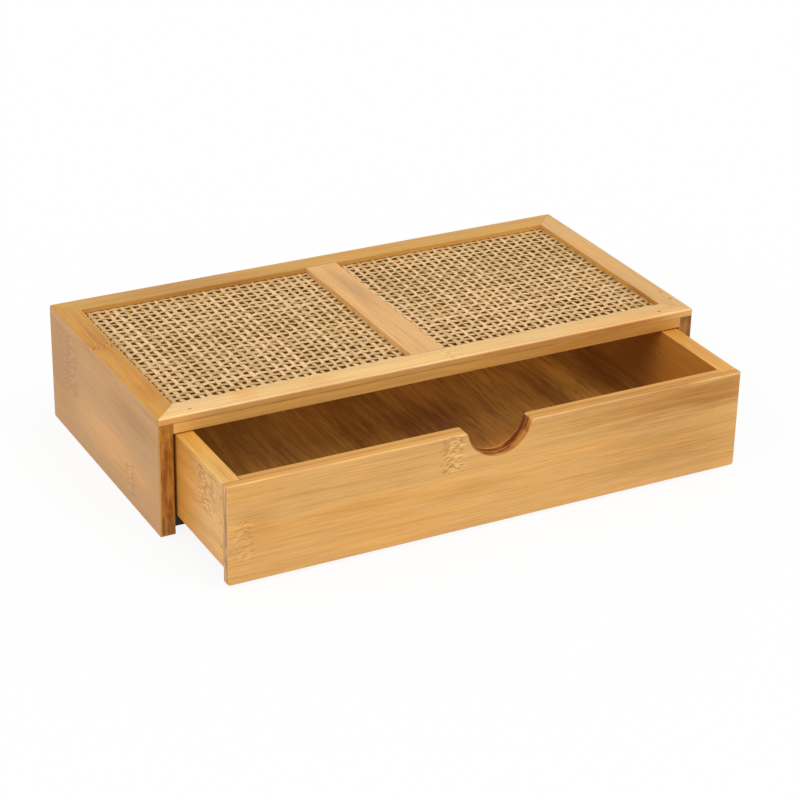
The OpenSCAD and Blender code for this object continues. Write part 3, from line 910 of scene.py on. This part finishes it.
def weave_strip(total, number, running, length, height, path, thickness, place):
    """Adds one flat oval strip along X, bent by its path and height, and set in place by a matrix."""
    stray, breadth, lean = path
    ring_gap = 1.3 * MM
    squareness = 0.65
    steps = max(8, round(length / ring_gap))
    bm = bmesh.new()
    bmesh.ops.create_cone(bm, cap_ends=True, segments=8, radius1=1, radius2=1, depth=length,
                          matrix=Matrix.Rotation(math.pi / 2, 4, "Y"))
    along = [edge for edge in bm.edges if abs(edge.verts[0].co.x - edge.verts[1].co.x) > length / 2]
    bmesh.ops.subdivide_edges(bm, edges=along, cuts=steps - 1, use_grid_fill=True)
    strip = bm.loops.layers.uv.new("strip")
    for face in bm.faces:
        face.smooth = len(face.verts) == 4
        face.material_index = running
        for loop in face.loops:
            spot = loop.vert.co
            loop[strip].uv = (spot.x, number + 0.5 + STRIP_SPAN * spot.y)
    for vert in bm.verts:
        s = vert.co.x
        side = vert.co.y * breadth(s) / 2
        rise = math.copysign(abs(vert.co.z) ** squareness, vert.co.z) * thickness / 2
        vert.co = (s, side + stray(s), rise + height(s) + side * lean(s))
    bmesh.ops.transform(bm, matrix=place, verts=bm.verts)
    mesh = finished_mesh(bm, "strip")
    total.from_mesh(mesh)
    bpy.data.meshes.remove(mesh)


class BOX_OT_cane_panels(bpy.types.Operator):
    """Open square weave of split cane in the two openings of the top"""

    bl_idname = "storage_box.cane_panels"
    bl_label = "Cane panels"

    def execute(self, context):
        cane = context.scene.box_cane
        finishes = [split_cane("cane_weft", cane.weft_pale, cane.weft_tan),
                    split_cane("cane_warp", cane.warp_pale, cane.warp_tan)]
        widths = (cane.weft_width, cane.warp_width)
        draw = random.Random(cane.seed)
        number = 0
        for side in ("left", "right"):
            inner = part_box("centre_top_stile")
            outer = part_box(side + "_top_stile")
            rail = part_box("front_top_rail")
            ends = sorted((inner[0].x, outer[1].x) if side == "left" else (inner[1].x, outer[0].x))
            low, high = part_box(side + "_cane_panel")
            middle = Vector(((ends[0] + ends[1]) / 2, 0, (low.z + high.z) / 2))
            half = Vector(((ends[1] - ends[0]) / 2, -rail[1].y, 0))
            total = bmesh.new()
            for running in (0, 1):
                length = 2 * (half[running] + cane.tuck)
                room = half[1 - running] + cane.tuck - 0.62 * cane.warp_width
                each_way = int(room / cane.pitch)
                turn = Matrix.Rotation(running * math.pi / 2, 4, "Z")
                for k in range(-each_way, each_way + 1):
                    lift = cane.lift if (k + running) % 2 else -cane.lift

                    def height(s, lift=lift):
                        return lift * math.cos(math.pi * s / cane.pitch)

                    path = strip_path(length, widths[running], cane.wander, draw)
                    aside = Matrix.Translation((0, k * cane.pitch, 0))
                    place = Matrix.Translation(middle) @ turn @ aside
                    weave_strip(total, number, running, length, height, path, cane.thickness, place)
                    number += 1
            add_piece(total, "cane_weave_" + side, finishes, side + "_cane_panel")
        return {"FINISHED"}


def notch_circle():
    """Axis and radius of the finger notch, from the lowest point of the front's cut and its width."""
    low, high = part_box("drawer_outer_front")
    reach = 40 * MM
    margin = 5 * MM
    points = [vert.co for vert in frame["nodes"]["drawer_outer_front"].data.vertices]
    cut = [p for p in points if abs(p.x) < reach and low.z + margin < p.z < high.z - margin]
    bottom = min(cut, key=lambda p: p.z)
    edge = max(cut, key=lambda p: abs(p.x - bottom.x))
    rise = edge.z - bottom.z
    radius = ((edge.x - bottom.x) ** 2 + rise ** 2) / (2 * rise)
    return Vector((bottom.x, 0, bottom.z + radius)), radius


class BOX_OT_drawer_front(bpy.types.Operator):
    """Two layers of the drawer's front, with the finger notch"""

    bl_idname = "storage_box.drawer_front"
    bl_label = "Drawer front"

    def execute(self, context):
        boards = context.scene.box_boards
        colours = context.scene.box_bamboo
        edge = [("+Z", colours.drawer_edge)]
        top_tone = ((0, -141, 60), (500, 15, 3), (0.93, 0.91, 1.02))
        tones = [
            ((105, DRAWER_FACE, 52), (75, 20, 12), (0.75, 0.64, 0.46)),
            ((140, DRAWER_FACE, 50), (36, 20, 12), (0.86, 0.77, 0.60)),
            ((110, DRAWER_FACE, 26), (60, 20, 24), (0.82, 0.77, 0.70)),
            ((-75, DRAWER_FACE, 30), (40, 20, 5), (0.90, 0.84, 0.74)),
            ((-15, DRAWER_FACE, 26), (30, 20, 6), (0.88, 0.82, 0.70)),
            ((-138, DRAWER_FACE, 34), (14, 20, 12), (0.94, 0.86, 0.74)),
            ((-60, DRAWER_FACE, 12), (80, 20, 4), (1.02, 0.98, 0.84)),
            top_tone,
        ]
        knuckles = [
            ((-146, DRAWER_FACE, 26.3), (7, 9, 11.7), 0.45),
            ((-25.5, DRAWER_FACE, 49.8), (8, 9, 11.7), 1.0),
        ]
        notch = notch_circle()
        outer = bamboo(
            "bamboo_front_outer", colours.front, "X", "Z", 13.5, contrast=1.05, start=14.5, rub=1.0,
            faces=edge, patches=tones, knuckles=knuckles, seams=[FRONT_SEAM], end=colours.front_end,
            notch=notch)
        inner = bamboo(
            "bamboo_front_inner", colours.drawer_inner, "X", "Z", 14.3, faces=edge, patches=[top_tone],
            seams=[FRONT_SEAM], notch=notch)
        rounds = {edge_name("-X", "-Z"): boards.corner_round, edge_name("+X", "-Z"): boards.corner_round}
        above_groove = FLOOR_TOP * MM + boards.board_arris
        eased_board("drawer_outer_front", "drawer_front_outer_layer", outer, rounds, 0,
                    rim=("-Y", boards.front_round, 0))
        eased_board("drawer_inner_front", "drawer_front_inner_layer", inner, {}, 0,
                    rim=("+Y", boards.board_arris, above_groove))
        return {"FINISHED"}


class BOX_OT_drawer_box(bpy.types.Operator):
    """Side boards and back board of the drawer"""

    bl_idname = "storage_box.drawer_box"
    bl_label = "Drawer sides and back"

    def execute(self, context):
        boards = context.scene.box_boards
        colours = context.scene.box_bamboo
        edge = ("+Z", colours.drawer_edge)
        usual = 2 * boards.joint_arris
        left_tones = [
            # Paler, pinker front end of the drawer's left side: partly the board's tone, partly painted light
            # where the case doesn't shade it
            ((-DRAWER_SIDE, -136, 38), (20, 36, 40), (1.11, 1.39, 2.4)),
            ((-149, -128, DRAWER_TOP), (7, 16, 4), (0.92, 0.82, 0.66)),
        ]
        right_tones = [
            ((150, -70, DRAWER_TOP), (9, 110, 4), (0.86, 0.82, 0.82)),
            # Painted shadow: darker on the right side's inner face under the case, where the case's top
            # shades it
            ((145, -62, 34), (4, 30, 24), (0.70, 0.68, 0.74)),
        ]
        left = bamboo(
            "bamboo_drawer_left", colours.drawer_side, "Y", "Z", 15.2, start=45, contrast=1.1,
            faces=[edge, ("+X", colours.drawer_inner)], patches=left_tones,
            knuckles=[((-DRAWER_SIDE, -119, 46), (9, 16, 13.5), 0.75)])
        right = bamboo(
            "bamboo_drawer_right", colours.drawer_side, "Y", "Z", 16.6, start=45,
            faces=[edge, ("-X", colours.drawer_inner)], patches=right_tones)
        back = bamboo(
            "bamboo_drawer_back", colours.drawer_side, "X", "Z", 18.6,
            faces=[edge, ("-Y", colours.drawer_inner)])
        eased_board("drawer_left_side", "drawer_side_left", left,
                    {edge_name("+X", "+Z"): boards.board_arris}, usual)
        eased_board("drawer_right_side", "drawer_side_right", right,
                    {edge_name("-X", "+Z"): boards.board_arris}, usual)
        eased_board("drawer_back", "drawer_back_board", back, {}, usual)
        return {"FINISHED"}


class BOX_OT_drawer_floor(bpy.types.Operator):
    """Thin floor board in the drawer's grooves"""

    bl_idname = "storage_box.drawer_floor"
    bl_label = "Drawer floor"

    def execute(self, context):
        boards = context.scene.box_boards
        tones = [
            ((-58, -30, FLOOR_TOP), (15, 70, 9), (1.22, 1.26, 1.26)),
            ((14, -52, FLOOR_TOP), (34, 40, 9), (0.68, 0.60, 0.70)),
            ((-34, -40, FLOOR_TOP), (9, 70, 9), (0.80, 0.74, 0.68)),
            # Painted shadow: darker over the front part of the floor, where the drawer's front shades it
            ((20, -88, FLOOR_TOP), (190, 52, 9), (0.56, 0.50, 0.47)),
            ((62, -30, FLOOR_TOP), (15, 70, 9), (1.18, 1.22, 1.2)),
            ((90, -55, FLOOR_TOP), (9, 60, 9), (0.70, 0.64, 0.6)),
            ((110, -40, FLOOR_TOP), (12, 70, 9), (1.25, 1.3, 1.25)),
            ((134, -50, FLOOR_TOP), (10, 70, 9), (0.72, 0.66, 0.6)),
            # Painted pool of light: paler spot on the floor where light comes in through the finger notch
            ((30, -96, FLOOR_TOP), (18, 12, 9), (1.45, 1.45, 1.35)),
        ]
        material = bamboo("bamboo_floor", context.scene.box_bamboo.drawer_floor, "Y", "X", 19.4,
                          contrast=3.0, coarse=3.2, patches=tones)
        eased_board("drawer_floor", "drawer_floor_board", material, {}, boards.joint_arris)
        return {"FINISHED"}


class BOX_OT_fasteners(bpy.types.Operator):
    """Brads and dowels, which keep their CAD shapes and get their finishes"""

    bl_idname = "storage_box.fasteners"
    bl_label = "Brads and dowels"

    def execute(self, context):
        dull = speckled("dull_brad", (0.47, 0.26, 0.085), (0.60, 0.35, 0.13))
        filled = speckled("filled_brad", (0.58, 0.32, 0.11), (0.70, 0.41, 0.16))
        wood = speckled("dowel_wood", (0.52, 0.34, 0.17), (0.66, 0.46, 0.25))
        finishes = {"frame_brads": dull, "drawer_front_brads": filled, "drawer_back_brads": filled,
                    "base_dowels": wood, "back_dowels": wood}
        for node, material in finishes.items():
            piece = frame["nodes"][node]
            piece.data.materials.clear()
            piece.data.materials.append(material)
        return {"FINISHED"}


def white_to_camera(tree):
    """1 for rays that see the background: from the camera, off gloss or through glass."""
    path = add_node(tree, "ShaderNodeLightPath").outputs
    seen = calc(tree, "MAXIMUM", path["Is Camera Ray"], path["Is Glossy Ray"])
    return calc(tree, "MAXIMUM", seen, path["Is Transmission Ray"])


def add_sun(name, toward, level, spread):
    """Soft lamp far away in a direction. At level 1 it lights a white card that faces it to white."""
    light = bpy.data.lights.new(name, "SUN")
    light.energy = level * math.pi
    light.angle = spread
    lamp = add_object(name, light)
    lamp.location = Vector(toward)
    lamp.rotation_euler = Vector(toward).to_track_quat("Z", "Y").to_euler()


def make_floor(stage):
    """Wide pale floor that looks white to the camera and keeps a faint shadow."""
    bm = bmesh.new()
    bmesh.ops.create_grid(bm, x_segments=4, y_segments=4, size=stage.floor_size)
    floor = add_object("floor", finished_mesh(bm, "floor"))
    material, tree, shader = start_material("pale_floor")
    shader.inputs["Base Color"].default_value = rgba(stage.floor)
    shader.inputs["Roughness"].default_value = 1.0
    shader.inputs["Specular IOR Level"].default_value = 0.0
    glow = add_node(tree, "ShaderNodeEmission", {"Color": (1, 1, 1, 1), "Strength": 1.0})
    share = times(tree, white_to_camera(tree), stage.floor_glow)
    both = add_node(tree, "ShaderNodeMixShader",
                    {0: share, 1: shader.outputs["BSDF"], 2: glow.outputs["Emission"]})
    tree.links.new(both.outputs[0], tree.nodes["Material Output"].inputs["Surface"])
    floor.data.materials.append(material)


class BOX_OT_stage(bpy.types.Operator):
    """Pale floor, even sky, soft lamps and the camera"""

    bl_idname = "storage_box.stage"
    bl_label = "Stage"

    def execute(self, context):
        scene = context.scene
        stage = scene.box_stage
        make_floor(stage)
        world = bpy.data.worlds.new("white_room")
        scene.world = world
        world.use_nodes = True
        tree = world.node_tree
        strength = ramp(tree, white_to_camera(tree), 0.0, 1.0, stage.sky, 1.0)
        background = tree.nodes["Background"]
        background.inputs["Color"].default_value = (1, 1, 1, 1)
        tree.links.new(strength, background.inputs["Strength"])
        add_sun("key_lamp", stage.key_from, stage.key, stage.spread)
        add_sun("fill_lamp", stage.fill_from, stage.fill, stage.spread)
        camera = bpy.data.cameras.new("camera")
        camera.sensor_width = SENSOR_WIDTH
        camera.lens = stage.lens
        camera.clip_start = 10 * MM
        eye = add_object("camera", camera)
        eye.location = stage.camera_place
        eye.rotation_euler = stage.camera_turn
        scene.camera = eye
        scene.view_settings.view_transform = "Standard"
        return {"FINISHED"}


OPERATORS = (
    BOX_OT_stage,
    BOX_OT_side_boards,
    BOX_OT_back_and_base,
    BOX_OT_top_frame,
    BOX_OT_under_frame,
    BOX_OT_cane_panels,
    BOX_OT_drawer_front,
    BOX_OT_drawer_box,
    BOX_OT_drawer_floor,
    BOX_OT_fasteners,
)


class BOX_PT_storage_box(bpy.types.Panel):
    """Sizes and colours of the box, and the steps that make it"""

    bl_idname = "BOX_PT_storage_box"
    bl_label = "Storage box"
    bl_space_type = "VIEW_3D"
    bl_region_type = "UI"
    bl_category = "Storage box"

    def draw(self, context):
        for operator in OPERATORS:
            self.layout.operator(operator.bl_idname)
        for name, group in SETTINGS.items():
            box = self.layout.box()
            for key in group.__annotations__:
                box.prop(getattr(context.scene, name), key)


def register():
    for name, group in SETTINGS.items():
        bpy.utils.register_class(group)
        setattr(bpy.types.Scene, name, bpy.props.PointerProperty(type=group))
    for cls in (*OPERATORS, BOX_PT_storage_box):
        bpy.utils.register_class(cls)


def unregister():
    for cls in reversed((*OPERATORS, BOX_PT_storage_box)):
        bpy.utils.unregister_class(cls)
    for name, group in reversed(SETTINGS.items()):
        delattr(bpy.types.Scene, name)
        bpy.utils.unregister_class(group)


def main():
    register()
    bpy.ops.storage_box.stage()
    bpy.ops.storage_box.side_boards()
    bpy.ops.storage_box.back_and_base()
    bpy.ops.storage_box.top_frame()
    bpy.ops.storage_box.under_frame()
    bpy.ops.storage_box.cane_panels()
    bpy.ops.storage_box.drawer_front()
    bpy.ops.storage_box.drawer_box()
    bpy.ops.storage_box.drawer_floor()
    bpy.ops.storage_box.fasteners()


if __name__ == "__main__":
    main()
